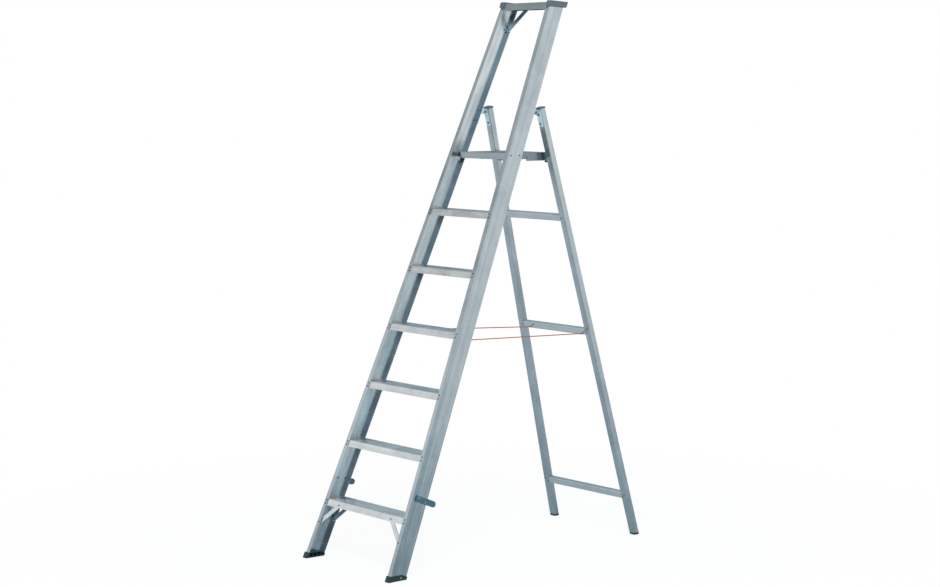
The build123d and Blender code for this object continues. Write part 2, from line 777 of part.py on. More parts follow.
def cord_points(side):
    """A cord's knot in the stile, its hole in the flange, its bend in the crossbar's front and its end."""
    hole = stile_point(cord_stile_inset, stile_depth - flange_wall, cord_stile_height)
    if side == "right":
        hole = Vector(-hole.X, hole.Y, hole.Z)
    bar = crossbar_frame(crossbar_heights["middle"])
    wall = crossbar_deep / 2
    bend = bar.from_local_coords(Vector(-wall, -cord_below_middle, cord_bar_x[side]))
    end = bar.from_local_coords(Vector(wall + cord_tail, -cord_below_middle, cord_bar_x[side]))
    way = (bend - hole).normalized()
    return hole - way * (knot_radius + knot_gap), hole, bend, end


def cord_cuts(side):
    """The holes that a cord passes through: the stile's flange, then the crossbar's two walls."""
    knot, hole, bend, end = cord_points(side)
    way = (bend - hole).normalized()
    flange = rod(hole - way * 2 * flange_wall, hole + way * 4 * flange_wall, cord_hole_radius)
    along = (end - bend).normalized()
    bar = rod(bend - along * 2 * crossbar_wall, end + along * crossbar_deep, cord_hole_radius)
    return flange, bar


def make_cord(side):
    """A cord knotted inside the stile, tight to the crossbar, through it and knotted behind."""
    knot, hole, bend, end = cord_points(side)
    path = FilletPolyline(knot, bend, end, radius=cord_bend)
    section = Plane(path @ 0, z_dir=path % 0) * Circle(cord_radius)
    cord = sweep(section, path=path)
    print(f"cord {side}: length {path.length:.1f}, bend {cord_bend}")
    return cord + Pos(knot) * Sphere(knot_radius) + Pos(end) * Sphere(knot_radius)


# Climbing side
left_stile = make_stile()
for side, stile in both(left_stile).items():
    save(f"stile_{side}", stile_with_side_holes(stile, side))
    save(f"guide_tab_{side}", on_side(make_guide_tab(side), side))
for number in range(1, step_count + 1):
    save(f"step_{number}", make_step(number))
save("top_bar", make_top_bar())
save_pair("top_cap", make_top_cap())
for name in strap_ends:
    save_pair(name, make_strap(name))
save_pair("shoe", make_shoe(left_stile))
save_pair("hinge_stile_bracket", make_hinge_stile_bracket())
save_pair("hinge_pin", make_hinge_pin())
save_pair("platform_bracket", make_platform_bracket())
save_pair("platform_pin", make_tilt_pin())
save_group("step_rivets", [rivet(seat, flange_wall + step_wall) for seat in front_seats + back_seats])
strap_grip = (flange_wall + step_wall + strap_sheet, step_wall + strap_sheet)
save_group(
    "brace_rivets",
    [rivet(seat, grip) for name in strap_ends for seat, grip in zip(strap_seats(name), strap_grip)],
)
tab_grip = tab_sheet + web_wall
tab_solids = [on_side(rivet(s, tab_grip), side).solid() for side in tab_rivets for s in tab_seats(side)]
save("tab_rivets", Compound(children=tab_solids))
save_group("shoe_rivets", [rivet(seat, shoe_wall + web_wall) for seat in shoe_seats])
save_group("bracket_rivets", [rivet(seat, web_wall + bracket_sheet) for seat in bracket_seats])
save_group("hinge_stile_rivets", [rivet(seat, hinge_sheet + flange_wall) for seat in hinge_stile_seats])

# Support side
save_pair("rear_leg", make_leg())
save_pair("leg_cap", make_leg_cap())
save_pair("foot_plug", make_foot_plug())
for name, z in crossbar_heights.items():
    save(f"crossbar_{name}", make_crossbar(z))
bar_grip = leg_wall + crossbar_fit + crossbar_wall
save_group("crossbar_rivets", [rivet(seat, bar_grip) for seat in crossbar_seats()])
save_pair("hinge_leg_bracket", make_hinge_leg_bracket())
save_group("hinge_leg_bolts", [rivet(seat, hinge_sheet + leg_wall, bolt_head) for seat in hinge_leg_seats])
save_pair("rest_sleeve", make_sleeve())
save_group("rest_bolts", [make_sleeve_bolt()])

# Platform
save("platform_deck", make_deck())
save_pair("platform_bush", make_bush())
save_group("deck_rivets", [rivet(seat, deck_wall) for seat in deck_seats()])

# Safety cords
for side in cord_bar_x:
    save(f"cord_{side}", make_cord(side))
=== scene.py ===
from math import cos, pi, radians, sin

import bpy
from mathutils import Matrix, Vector


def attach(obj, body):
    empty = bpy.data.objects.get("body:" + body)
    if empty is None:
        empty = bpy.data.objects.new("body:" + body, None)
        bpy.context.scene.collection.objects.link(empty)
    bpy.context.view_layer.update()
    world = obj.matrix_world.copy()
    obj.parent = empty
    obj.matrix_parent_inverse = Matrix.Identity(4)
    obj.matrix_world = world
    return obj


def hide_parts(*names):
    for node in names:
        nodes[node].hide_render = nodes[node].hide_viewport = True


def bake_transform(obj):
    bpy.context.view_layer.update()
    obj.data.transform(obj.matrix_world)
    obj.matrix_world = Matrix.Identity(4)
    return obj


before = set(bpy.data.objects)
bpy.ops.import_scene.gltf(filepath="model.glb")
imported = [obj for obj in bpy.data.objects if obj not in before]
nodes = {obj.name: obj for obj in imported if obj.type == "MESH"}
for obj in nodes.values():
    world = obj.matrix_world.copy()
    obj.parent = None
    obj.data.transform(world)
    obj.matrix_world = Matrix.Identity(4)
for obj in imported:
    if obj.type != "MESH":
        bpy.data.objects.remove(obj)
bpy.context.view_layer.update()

SIDES = ("left", "right")
TREADS = 6

# How the pieces stand, as in the model: stiles and legs lean and draw together, the others lie across
STILE_LEAN = radians(22.7)
LEG_LEAN = radians(14.4)
STILE_NARROWING = radians(3.12)
LEG_NARROWING = radians(2.77)
UPRIGHT = (0.0, 0.0, 0.0)
CROSSWAYS = (0.0, pi / 2, 0.0)

# Camera: where the photograph was taken from, in metres, and its lens, in millimetres
CAMERA_PLACE = (6.6240, -5.5272, 1.9292)
CAMERA_HEADING = radians(50.336)
CAMERA_DOWN = radians(5.726)
CAMERA_LENS = 80.10
CAMERA_REACH = 200.0
SENSOR_WIDTH = 36.0

# Floor: white to the camera, with a shadow that fades out further off, and pale paper to other light
WHITE = (1.0, 1.0, 1.0, 1.0)
BLACK = (0.0, 0.0, 0.0, 1.0)
FLOOR_SIZE = 80.0
FLOOR_MIDDLE = (0.0, 0.0, 0.0)
FLOOR_PAPER = (0.64, 0.77, 0.83, 1.0)
FLOOR_SHADE = (0.16, 0.16, 0.16, 1.0)
FLOOR_GLOW = 0.88
FLOOR_CLEAR = (1.0, 2.6)

# Metal shows a growing share of the white floor, over these distances from a point behind the ladder
SWEEP_FROM = (1.5, 1.0, 0.0)
SWEEP_DISTANCES = (2.0, 12.0)
SWEEP_SHARES = (0.10, 0.90)

# Room that the metal shows: pairs of a height, from 0 straight down to 1 straight up, and a brightness
SIDE_BAND = (
    (0.0, 1.0), (0.60, 1.0), (0.675, 0.96), (0.682, 0.88), (0.690, 0.50),
    (0.708, 0.48), (0.725, 0.66), (0.76, 0.68), (1.0, 0.30),
)
SIDE_TINT = (1.0, 1.0, 1.0)
FRONT_BAND = ((0.0, 0.34), (0.67, 0.36), (0.69, 0.65), (0.72, 1.0), (1.0, 1.0))
FRONT_TINT = (0.84, 1.0, 1.14)
BACK_COLOUR = (0.33, 0.44, 0.51, 1.0)

# Where the room's front lies, and where it fades to the sides and to the back, as cosines from there
FRONT_WAY = (0.77, -0.64, 0.0)
FRONT_SPAN = (0.45, 0.85)
BACK_SPAN = (-0.90, -0.40)

# Key lamp, in metres and watts
KEY_PLACE = (4.2, -3.2, 5.2)
KEY_AIM = (0.0, 0.0, 1.1)
KEY_SIZE = 3.0
KEY_POWER = 150.0

# Noise patterns: fineness is in features per metre, and a reach is the span of the noise that counts
FULL = (0.0, 1.0)
NOISE_REACH = (0.3, 0.7)
NOISE_ROUGHNESS = 0.6

# Drawn aluminium: lines of the die, broad streaks and clouds, how they mix, and how deep a line is
DIE_LINES = (900.0, 900.0, 2.2)
BROAD_STREAKS = (70.0, 70.0, 1.4)
METAL_CLOUDS = (16.0, 16.0, 11.0)
STREAK_SHARE = 0.5
CLOUD_SHARE = 0.45
METAL_TINT_REACH = (0.38, 0.62)
METAL_DULL_REACH = (0.35, 0.7)
LINE_DEPTH = 0.00004

# Aluminium of each piece: dark and light tint, least and most roughness, strength of the lines. How the
# tints differ between pieces is painted light and shade.
STILE_METAL = ((0.36, 0.43, 0.46, 1), (0.54, 0.60, 0.63, 1), 0.12, 0.24, 0.12)
LEG_METAL = ((0.37, 0.43, 0.46, 1), (0.54, 0.60, 0.63, 1), 0.18, 0.30, 0.30)
TREAD_METAL = ((0.50, 0.54, 0.56, 1), (0.77, 0.80, 0.81, 1), 0.16, 0.26, 0.08)
DECK_METAL = ((0.25, 0.30, 0.33, 1), (0.37, 0.41, 0.44, 1), 0.20, 0.32, 0.08)
HAND_BAR_METAL = ((0.28, 0.34, 0.36, 1), (0.38, 0.44, 0.46, 1), 0.20, 0.32, 0.12)
CROSSBAR_METAL = ((0.50, 0.55, 0.57, 1), (0.68, 0.72, 0.73, 1), 0.12, 0.22, 0.12)
STRAP_METAL = ((0.60, 0.68, 0.71, 1), (0.80, 0.86, 0.88, 1), 0.30, 0.42, 0.30)

# Painted light in pale patches inside the stiles, which are also duller there
INSIDE_LIGHT = (0.70, 0.76, 0.78, 1)
INSIDE_BELOW = -0.05
INSIDE_STREAKS = (34.0, 34.0, 5.0)
INSIDE_REACH = (0.36, 0.64)
INSIDE_SHARES = (0.10, 0.85)
INSIDE_DULL = 0.08

# Painted shade at the foot of stiles and legs, in streaks, up to a height in metres
FOOT_SHADE = (0.15, 0.20, 0.23, 1)
FOOT_SHADE_STREAKS = (60.0, 60.0, 14.0)
FOOT_SHADE_REACH = (0.35, 0.65)
FOOT_SHADE_SHARES = (0.45, 1.0)
FOOT_SHADE_HEIGHTS = (0.0, 0.45)
STILE_FOOT_SHADE = 0.60
LEG_FOOT_SHADE = 0.30

# Painted shade on the platform's sides, the faces that look left and right
DECK_SIDE_SHADE = (0.13, 0.17, 0.20, 1)
DECK_SIDE_SHADE_REACH = (0.4, 0.6)
DECK_SIDE_SHADE_SHARES = (0.0, 0.45)

# Moulded plastic: stipple, clouds, scratches where the clouds allow them, and its relief
STIPPLE = 1600.0
PLASTIC_CLOUDS = 45.0
SCRATCHES = (70.0, 420.0, 120.0)
SCRATCH_REACH = (0.58, 0.72)
SCUFF_REACH = (0.42, 0.7)
SCUFF_SHARES = (0.0, 0.7)
SPECK_SHARES = (0.0, 0.25)
PLASTIC_UNEVEN = (-0.07, 0.09)
PLASTIC_RELIEF = (0.35, 0.0002)

# Plastic of each piece: body, scuffs and roughness, and how far from the middle the bushes are black
CAP_PLASTIC = ((0.110, 0.155, 0.180, 1), (0.18, 0.23, 0.26, 1), 0.45)
SHOE_PLASTIC = ((0.003, 0.030, 0.041, 1), (0.020, 0.055, 0.068, 1), 0.45)
BUSH_PLASTIC = ((0.130, 0.175, 0.200, 1), (0.20, 0.25, 0.28, 1), 0.45)
TAB_PLASTIC = ((0.055, 0.142, 0.188, 1), (0.12, 0.21, 0.26, 1), 0.40)
BUSH_BLACK = (0.004, 0.010, 0.013, 1)
BUSH_BLACK_HALF = 0.160

# Zinc plate: clouds of its bloom, a fine grain, and its relief
ZINC_CLOUDS = 85.0
ZINC_GRAIN = 900.0
ZINC_REACH = (0.36, 0.64)
ZINC_ROUGH = (0.2, 0.42)
ZINC_RELIEF = (0.2, 0.00005)

# Steel of each piece: bluish and pale tint, and how metallic it looks; rivet tails are dark
HINGE_STEEL = ((0.55, 0.85, 0.92, 1), (0.86, 0.95, 0.97, 1), 0.15)
# Dark steel of rivets, bolts and pins: its dark tint is partly painted shade, for the shade in and round
# their holes
DARK_STEEL_AND_SHADE = ((0.10, 0.13, 0.16, 1), (0.20, 0.24, 0.28, 1), 1.0)
PALE_RIVETS = ((0.45, 0.50, 0.54, 1), (0.66, 0.70, 0.73, 1), 1.0)
RIVET_TAIL = (0.03, 0.04, 0.05, 1)

# Braid of the cords: two sets of yarns that cross, with fuzz, on a map of turns and diameters
YARN_TURNS = (radians(45), radians(-45))
YARN_STRETCH = (4.0, 1.0, 1.0)
YARN_SCALE = 0.5
YARN_WOBBLE = 0.4
FUZZ = 30.0
FUZZ_SHADES = (0.7, 1.0)
BRAID_ROUGH = (0.6, 0.85)
BRAID_RELIEF = (0.5, 0.0003)
CORD_YARN = (0.40, 0.065, 0.006, 1)
CORD_FLECK = (0.68, 0.180, 0.018, 1)

# Safety cords, in metres: the hole in the stile, the bend at the crossbar and the end behind it
CORD_DIAMETER = 0.0040
CORD_HOLE = {"left": (-0.22174, -0.2202, 0.9085), "right": (0.22174, -0.2202, 0.9085)}
CORD_BEND = {"left": (-0.1540, 0.43535, 0.87955), "right": (0.1720, 0.43535, 0.87955)}
CORD_END = {"left": (-0.1540, 0.46247, 0.88651), "right": (0.1720, 0.46247, 0.88651)}
CORD_STRAIGHT = 6 * CORD_DIAMETER
CORD_KNOT_BACK = 0.0040
CORD_STEPS = 24
TUBE_SIDES = 16

# Stopper knots: a loop that winds twice round the cord and crosses itself three times
KNOT_RING = 0.0017
KNOT_SWELL = 0.0009
KNOT_YARN = 0.0012
KNOT_WINDS = 2
KNOT_CROSSINGS = 3
KNOT_POINTS = 24
KNOT_STEPS = 6


# Shader building blocks


def add_node(tree, kind, **values):
    """A shader node with its properties and input sockets set by name."""
    made = tree.nodes.new(kind)
    for key, value in values.items():
        if key in made.inputs:
            made.inputs[key].default_value = value
        else:
            setattr(made, key, value)
    return made


def add_math(tree, operation, first, second):
    """A math node between two sockets or numbers."""
    made = add_node(tree, "ShaderNodeMath", operation=operation)
    for socket, value in zip(made.inputs, (first, second)):
        if isinstance(value, (int, float)):
            socket.default_value = value
        else:
            tree.links.new(value, socket)
    return made.outputs[0]


def add_mix(tree, factor, first, second):
    """A colour between two colours or sockets."""
    made = add_node(tree, "ShaderNodeMix", data_type="RGBA")
    for key, value in (("Factor", factor), ("A", first), ("B", second)):
        socket = [s for s in made.inputs if s.name == key and s.enabled][0]
        if isinstance(value, (int, float, tuple)):
            socket.default_value = value
        else:
            tree.links.new(value, socket)
    return [s for s in made.outputs if s.enabled][0]


def add_range(tree, value, given, wanted):
    """A value taken from one range to another, held at its ends."""
    made = add_node(tree, "ShaderNodeMapRange")
    tree.links.new(value, made.inputs["Value"])
    for key, number in zip(("From Min", "From Max", "To Min", "To Max"), (*given, *wanted)):
        if isinstance(number, (int, float)):
            made.inputs[key].default_value = number
        else:
            tree.links.new(number, made.inputs[key])
    return made.outputs["Result"]


def add_noise(tree, vector, fineness, detail):
    """Noise of one fineness, or of one for each axis."""
    if isinstance(fineness, tuple):
        mapping = add_node(tree, "ShaderNodeMapping", Scale=fineness)
        tree.links.new(vector, mapping.inputs["Vector"])
        vector, fineness = mapping.outputs["Vector"], 1.0
    noise = add_node(tree, "ShaderNodeTexNoise", Scale=fineness, Detail=detail, Roughness=NOISE_ROUGHNESS)
    tree.links.new(vector, noise.inputs["Vector"])
    return noise.outputs["Fac"]


def add_part(tree, vector, axis):
    """One axis of a vector."""
    split = add_node(tree, "ShaderNodeSeparateXYZ")
    tree.links.new(vector, split.inputs[0])
    return split.outputs[axis]


def add_measure(tree, operation, vector, fixed):
    """The distance or the dot product of a vector and a fixed one."""
    made = add_node(tree, "ShaderNodeVectorMath", operation=operation)
    tree.links.new(vector, made.inputs[0])
    made.inputs[1].default_value = fixed
    return made.outputs["Value"]


def new_group(name, inputs, outputs):
    """An empty node group with named sockets, and its input and output nodes."""
    kinds = {"V": "NodeSocketVector", "C": "NodeSocketColor", "F": "NodeSocketFloat"}
    group = bpy.data.node_groups.new(name, "ShaderNodeTree")
    for socket, kind in inputs:
        group.interface.new_socket(socket, in_out="INPUT", socket_type=kinds[kind])
    for socket, kind in outputs:
        group.interface.new_socket(socket, in_out="OUTPUT", socket_type=kinds[kind])
    return group, group.nodes.new("NodeGroupInput").outputs, group.nodes.new("NodeGroupOutput").inputs


# Finish groups


FINISH = (("Color", "C"), ("Roughness", "F"), ("Height", "F"))


def make_drawn_lines():
    """Lines along local Z, as an extrusion die leaves them, with dull and bright patches."""
    inputs = (("Vector", "V"), ("Dark", "C"), ("Light", "C"), ("Smooth", "F"), ("Rough", "F"))
    group, given, result = new_group("drawn lines", inputs, FINISH)
    lines = add_noise(group, given["Vector"], DIE_LINES, detail=3.0)
    broad = add_noise(group, given["Vector"], BROAD_STREAKS, detail=2.0)
    cloud = add_noise(group, given["Vector"], METAL_CLOUDS, detail=4.0)
    streaks = add_mix(group, STREAK_SHARE, lines, broad)
    spread = add_range(group, add_mix(group, CLOUD_SHARE, streaks, cloud), METAL_TINT_REACH, FULL)
    group.links.new(add_mix(group, spread, given["Dark"], given["Light"]), result["Color"])
    dull = add_range(group, cloud, METAL_DULL_REACH, (given["Smooth"], given["Rough"]))
    group.links.new(dull, result["Roughness"])
    group.links.new(lines, result["Height"])
    return group


def make_moulded_grain():
    """Spark-eroded stipple of moulded plastic, with paler scuffs."""
    inputs = (("Vector", "V"), ("Body", "C"), ("Scuff", "C"), ("Rough", "F"))
    group, given, result = new_group("moulded grain", inputs, FINISH)
    stipple = add_noise(group, given["Vector"], STIPPLE, detail=2.0)
    cloud = add_noise(group, given["Vector"], PLASTIC_CLOUDS, detail=5.0)
    scratch = add_noise(group, given["Vector"], SCRATCHES, detail=4.0)
    scratched = add_range(group, scratch, SCRATCH_REACH, FULL)
    worn = add_math(group, "MULTIPLY", scratched, add_range(group, cloud, SCUFF_REACH, SCUFF_SHARES))
    speck = add_range(group, stipple, NOISE_REACH, SPECK_SHARES)
    tint = add_mix(group, add_math(group, "MAXIMUM", worn, speck), given["Body"], given["Scuff"])
    group.links.new(tint, result["Color"])
    uneven = add_range(group, cloud, NOISE_REACH, PLASTIC_UNEVEN)
    group.links.new(add_math(group, "ADD", given["Rough"], uneven), result["Roughness"])
    group.links.new(stipple, result["Height"])
    return group


def make_zinc_bloom():
    """Bright zinc plate with a bluish, cloudy passivation."""
    inputs = (("Vector", "V"), ("Blue", "C"), ("Pale", "C"))
    group, given, result = new_group("zinc bloom", inputs, FINISH)
    cloud = add_noise(group, given["Vector"], ZINC_CLOUDS, detail=4.0)
    grain = add_noise(group, given["Vector"], ZINC_GRAIN, detail=2.0)
    bloom = add_range(group, cloud, ZINC_REACH, FULL)
    group.links.new(add_mix(group, bloom, given["Blue"], given["Pale"]), result["Color"])
    group.links.new(add_range(group, grain, NOISE_REACH, ZINC_ROUGH), result["Roughness"])
    group.links.new(grain, result["Height"])
    return group


def make_braid():
    """Crossing yarns of a braided cord, on a map of turns round and diameters along it."""
    inputs = (("Vector", "V"), ("Yarn", "C"), ("Fleck", "C"))
    group, given, result = new_group("braid", inputs, FINISH)
    ridges = []
    for turn in YARN_TURNS:
        mapping = add_node(group, "ShaderNodeMapping", Rotation=(0.0, 0.0, turn), Scale=YARN_STRETCH)
        group.links.new(given["Vector"], mapping.inputs["Vector"])
        wave = add_node(group, "ShaderNodeTexWave", Scale=YARN_SCALE, Distortion=YARN_WOBBLE, Detail=1.0)
        group.links.new(mapping.outputs["Vector"], wave.inputs["Vector"])
        ridges.append(wave.outputs["Fac"])
    over = add_math(group, "MAXIMUM", *ridges)
    fuzz = add_noise(group, given["Vector"], FUZZ, detail=3.0)
    shade = add_math(group, "MULTIPLY", over, add_range(group, fuzz, NOISE_REACH, FUZZ_SHADES))
    group.links.new(add_mix(group, shade, given["Yarn"], given["Fleck"]), result["Color"])
    group.links.new(add_range(group, fuzz, NOISE_REACH, BRAID_ROUGH), result["Roughness"])
    group.links.new(over, result["Height"])
    return group


drawn_lines = make_drawn_lines()
moulded_grain = make_moulded_grain()
zinc_bloom = make_zinc_bloom()
braid = make_braid()


# Materials


def finished_material(name, group, values, metallic, bump, turn=UPRIGHT, place="Object"):
    """A material whose colour, roughness and bump come from one finish group."""
    material = bpy.data.materials.new(name)
    material.use_nodes = True
    tree = material.node_tree
    shader = tree.nodes["Principled BSDF"]
    where = add_node(tree, "ShaderNodeTexCoord")
    mapping = add_node(tree, "ShaderNodeMapping", Rotation=turn)
    tree.links.new(where.outputs[place], mapping.inputs["Vector"])
    finish = add_node(tree, "ShaderNodeGroup", node_tree=group)
    for key, value in values.items():
        finish.inputs[key].default_value = value
    tree.links.new(mapping.outputs["Vector"], finish.inputs["Vector"])
    strength, depth = bump
    relief = add_node(tree, "ShaderNodeBump", Strength=strength, Distance=depth)
    tree.links.new(finish.outputs["Height"], relief.inputs["Height"])
    tree.links.new(finish.outputs["Color"], shader.inputs["Base Color"])
    tree.links.new(finish.outputs["Roughness"], shader.inputs["Roughness"])
    tree.links.new(relief.outputs["Normal"], shader.inputs["Normal"])
    shader.inputs["Metallic"].default_value = metallic
    return material


def drawn_aluminium(name, turn, metal):
    """Mill-finish aluminium with its drawing lines along the piece."""
    dark, light, smooth, rough, strength = metal
    values = {"Dark": dark, "Light": light, "Smooth": smooth, "Rough": rough}
    return finished_material(name, drawn_lines, values, metallic=1.0, bump=(strength, LINE_DEPTH), turn=turn)


def moulded_plastic(name, plastic):
    """Moulded plastic with a fine stipple."""
    body, scuff, rough = plastic
    values = {"Body": body, "Scuff": scuff, "Rough": rough}
    return finished_material(name, moulded_grain, values, metallic=0.0, bump=PLASTIC_RELIEF)


def plated_steel(name, steel):
    """Zinc-plated steel."""
    blue, pale, metallic = steel
    values = {"Blue": blue, "Pale": pale}
    return finished_material(name, zinc_bloom, values, metallic, bump=ZINC_RELIEF)


def surface_value(tree, key, axis="X"):
    """One axis of a surface's place or normal."""
    return add_part(tree, add_node(tree, "ShaderNodeTexCoord").outputs[key], axis)


def outward(tree):
    """Above zero on faces that look away from the middle of the ladder, and below zero on the others."""
    return add_math(tree, "MULTIPLY", surface_value(tree, "Object"), surface_value(tree, "Normal"))


def streaks_along(tree, fineness, reach, shares, detail):
    """Streaks that lie along the piece, from one share to another."""
    along = tree.nodes["Mapping"].outputs["Vector"]
    return add_range(tree, add_noise(tree, along, fineness, detail), reach, shares)


def cover(material, mask, colour):
    """Mix a colour into a material's own where the mask is set."""
    tree = material.node_tree
    base = tree.nodes["Principled BSDF"].inputs["Base Color"]
    tree.links.new(add_mix(tree, mask, base.links[0].from_socket, colour), base)


def darken_tails(material):
    """Make the ends of rivets that look towards the middle of the ladder dark."""
    tree = material.node_tree
    cover(material, add_math(tree, "LESS_THAN", outward(tree), 0.0), RIVET_TAIL)


def shade_deck_sides(material):
    """Darken the faces that look left and right with painted shade."""
    tree = material.node_tree
    sideways = add_math(tree, "MULTIPLY", surface_value(tree, "Normal"), surface_value(tree, "Normal"))
    cover(material, add_range(tree, sideways, DECK_SIDE_SHADE_REACH, DECK_SIDE_SHADE_SHARES), DECK_SIDE_SHADE)


def light_inside(material):
    """Painted light in pale patches, with more roughness, on the faces of a channel that look towards the
    middle of the ladder.
    """
    tree = material.node_tree
    inside = add_math(tree, "LESS_THAN", outward(tree), INSIDE_BELOW)
    patch = streaks_along(tree, INSIDE_STREAKS, INSIDE_REACH, INSIDE_SHARES, detail=2.0)
    cover(material, add_math(tree, "MULTIPLY", inside, patch), INSIDE_LIGHT)
    rough = tree.nodes["Principled BSDF"].inputs["Roughness"]
    dull = add_math(tree, "MULTIPLY", inside, INSIDE_DULL)
    tree.links.new(add_math(tree, "ADD", rough.links[0].from_socket, dull), rough)


def shade_at_foot(material, most):
    """Streaks of painted shade that thicken towards the floor, up to a given share."""
    tree = material.node_tree
    streaks = streaks_along(tree, FOOT_SHADE_STREAKS, FOOT_SHADE_REACH, FOOT_SHADE_SHARES, detail=4.0)
    low = add_range(tree, surface_value(tree, "Object", "Z"), FOOT_SHADE_HEIGHTS, (most, 0.0))
    cover(material, add_math(tree, "MULTIPLY", low, streaks), FOOT_SHADE)


def black_inner_end(material, half):
    """Make what lies nearer to the middle of the ladder than this black."""
    tree = material.node_tree
    far = add_math(tree, "MULTIPLY", surface_value(tree, "Object"), surface_value(tree, "Object"))
    cover(material, add_math(tree, "LESS_THAN", far, half * half), BUSH_BLACK)


def dress(names, material):
    """Give CAD nodes one material."""
    for name in names:
        slots = nodes[name].data.materials
        slots.clear()
        slots.append(material)


def pair(name):
    """The left and right nodes of a piece."""
    return [f"{name}_{side}" for side in SIDES]


# Aluminium pieces
# Stiles and legs get streaks of painted shade towards the floor
# Stiles get painted light in pale patches on their faces that look towards the middle
for side, sign in zip(SIDES, (-1, 1)):
    along_stile = (STILE_LEAN, sign * STILE_NARROWING, 0.0)
    stile_metal = drawn_aluminium(f"stile aluminium {side}", along_stile, STILE_METAL)
    light_inside(stile_metal)
    shade_at_foot(stile_metal, STILE_FOOT_SHADE)
    dress([f"stile_{side}"], stile_metal)
    along_leg = (-LEG_LEAN, sign * LEG_NARROWING, 0.0)
    leg_metal = drawn_aluminium(f"leg aluminium {side}", along_leg, LEG_METAL)
    shade_at_foot(leg_metal, LEG_FOOT_SHADE)
    dress([f"rear_leg_{side}"], leg_metal)
tread_metal = drawn_aluminium("tread aluminium", CROSSWAYS, TREAD_METAL)
dress([f"step_{number + 1}" for number in range(TREADS)], tread_metal)
deck_metal = drawn_aluminium("platform aluminium", CROSSWAYS, DECK_METAL)
# Painted shade on the platform's sides
shade_deck_sides(deck_metal)
dress(["platform_deck"], deck_metal)
dress(["top_bar"], drawn_aluminium("hand bar aluminium", CROSSWAYS, HAND_BAR_METAL))
crossbar_metal = drawn_aluminium("crossbar aluminium", CROSSWAYS, CROSSBAR_METAL)
dress(["crossbar_upper", "crossbar_middle", "crossbar_lower"], crossbar_metal)
strap_metal = drawn_aluminium("strap aluminium", CROSSWAYS, STRAP_METAL)
dress(pair("top_brace") + pair("low_brace_front") + pair("low_brace_rear"), strap_metal)
dress(pair("platform_bracket"), strap_metal)

# Steel pieces, and rivets
hinge_steel = plated_steel("zinc plated steel", HINGE_STEEL)
dress(pair("hinge_stile_bracket") + pair("hinge_leg_bracket"), hinge_steel)
# Rivets, bolts and pins darkened partly with painted shade
dark_steel_and_shade = plated_steel("dark rivet steel and painted shade", DARK_STEEL_AND_SHADE)
dress(["step_rivets", "brace_rivets", "bracket_rivets", "hinge_stile_rivets"], dark_steel_and_shade)
dress(["crossbar_rivets", "hinge_leg_bolts", "rest_bolts", "deck_rivets"], dark_steel_and_shade)
dress(pair("platform_pin") + pair("hinge_pin"), dark_steel_and_shade)
pale_rivets = plated_steel("pale rivet aluminium", PALE_RIVETS)
darken_tails(pale_rivets)
dress(["tab_rivets", "shoe_rivets"], pale_rivets)

# Plastic pieces
dress(pair("top_cap") + pair("leg_cap"), moulded_plastic("cap grey plastic", CAP_PLASTIC))
shoe_black = moulded_plastic("shoe black plastic", SHOE_PLASTIC)
dress(pair("shoe") + pair("foot_plug") + pair("rest_sleeve"), shoe_black)
bush_grey = moulded_plastic("bush grey plastic", BUSH_PLASTIC)
black_inner_end(bush_grey, BUSH_BLACK_HALF)
dress(pair("platform_bush"), bush_grey)
dress(pair("guide_tab"), moulded_plastic("tab blue plastic", TAB_PLASTIC))


# Safety cords


yarns = {"Yarn": CORD_YARN, "Fleck": CORD_FLECK}
cord_braid = finished_material("braided cord", braid, yarns, metallic=0.0, bump=BRAID_RELIEF, place="UV")


def nurbs_line(name, points, steps, closed=False):
    """A NURBS curve of order 3 with these control points."""
    data = bpy.data.curves.new(name, "CURVE")
    data.dimensions = "3D"
    spline = data.splines.new("NURBS")
    spline.points.add(len(points) - 1)
    for spot, point in zip(spline.points, points):
        spot.co = (*point, 1.0)
    spline.use_cyclic_u = closed
    spline.order_u = 3
    spline.use_endpoint_u = not closed
    spline.resolution_u = steps
    line = bpy.data.objects.new(name, data)
    bpy.context.collection.objects.link(line)
    return line


def take_points(line):
    """Points along a curve with no bevel, in order. The curve itself is removed."""
    graph = bpy.context.evaluated_depsgraph_get()
    mesh = bpy.data.meshes.new_from_object(line.evaluated_get(graph))
    points = [vertex.co.copy() for vertex in mesh.vertices]
    bpy.data.meshes.remove(mesh)
    bpy.data.objects.remove(line)
    return points


